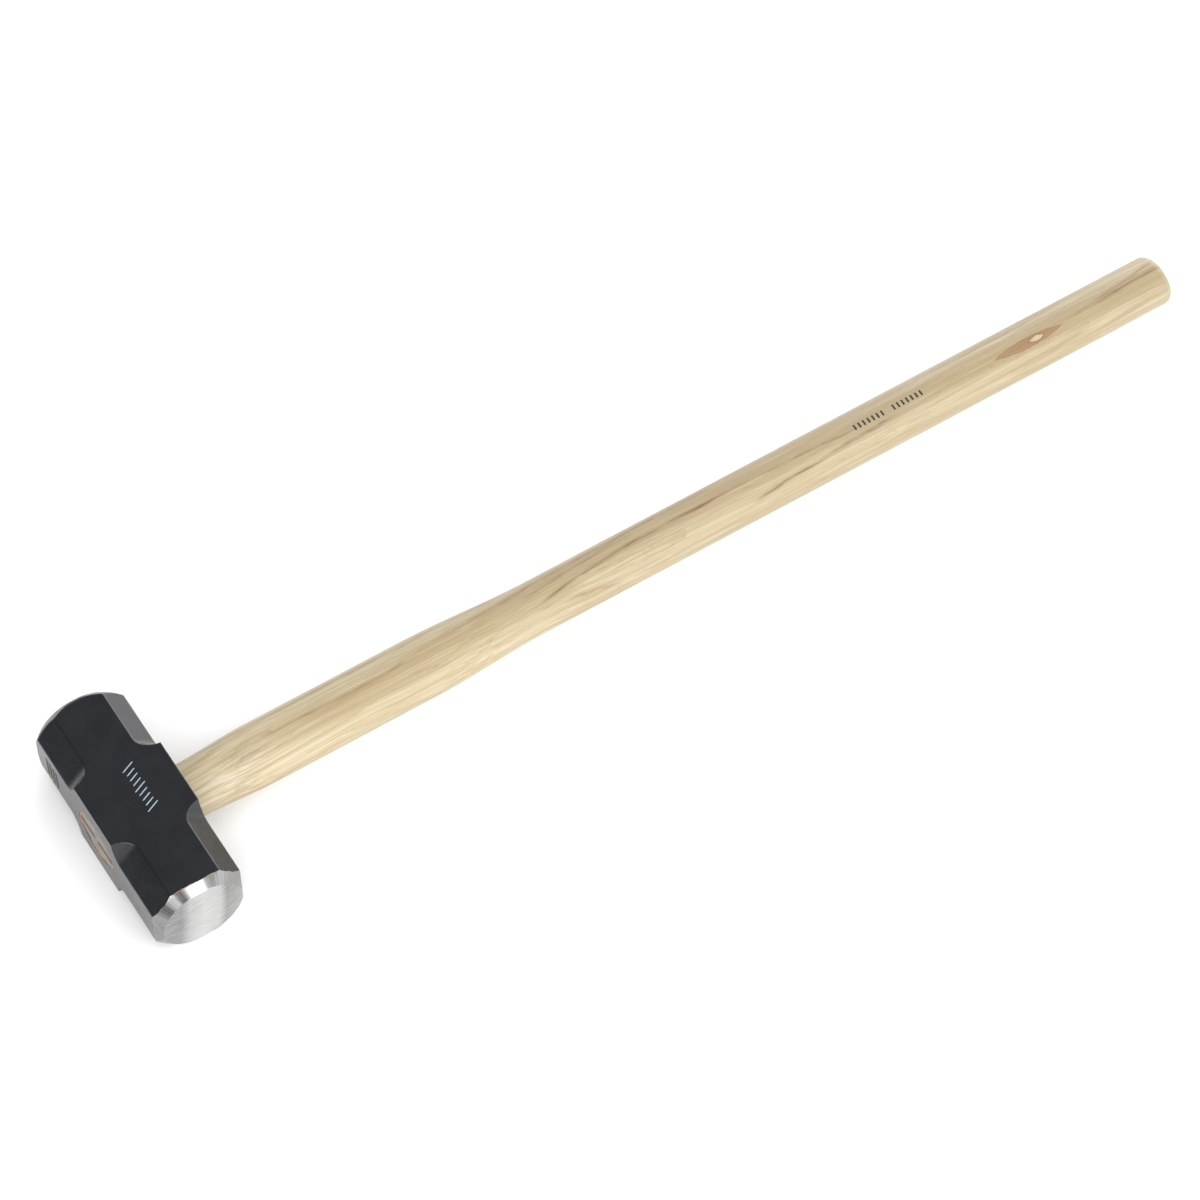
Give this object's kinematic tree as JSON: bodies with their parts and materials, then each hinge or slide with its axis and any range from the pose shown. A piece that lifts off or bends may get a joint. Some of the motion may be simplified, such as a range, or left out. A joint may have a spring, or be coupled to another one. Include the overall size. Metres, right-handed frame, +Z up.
{
  "type": "sledgehammer",
  "caption": "Two-handed sledgehammer: black octagonal steel head with ground crowned faces on a long oval hickory handle, wedged and resin-bonded in the eye.",
  "frame": {"origin": "centre of the lower cheek of the head, the flat side the hammer lies on", "axes": "+X along the handle from the head to the grip, Y along the striking axis, +Z up through both cheeks"},
  "size_m": [0.895, 0.1808, 0.066],
  "materials": {
    "head": "semi-gloss black paint on forged steel, with the two striking faces and their bevels ground bare",
    "handle": "clear-lacquered hickory",
    "wooden_wedge": "bare hardwood",
    "steel_wedge": "bare mild steel",
    "resin_bond": "set amber resin"
  },
  "bodies": {
    "root": {"head": "head", "handle": "handle", "wooden_wedge": "wooden_wedge", "steel_wedge": "steel_wedge", "resin_bond": "resin_bond"}
  },
  "joints": []
}
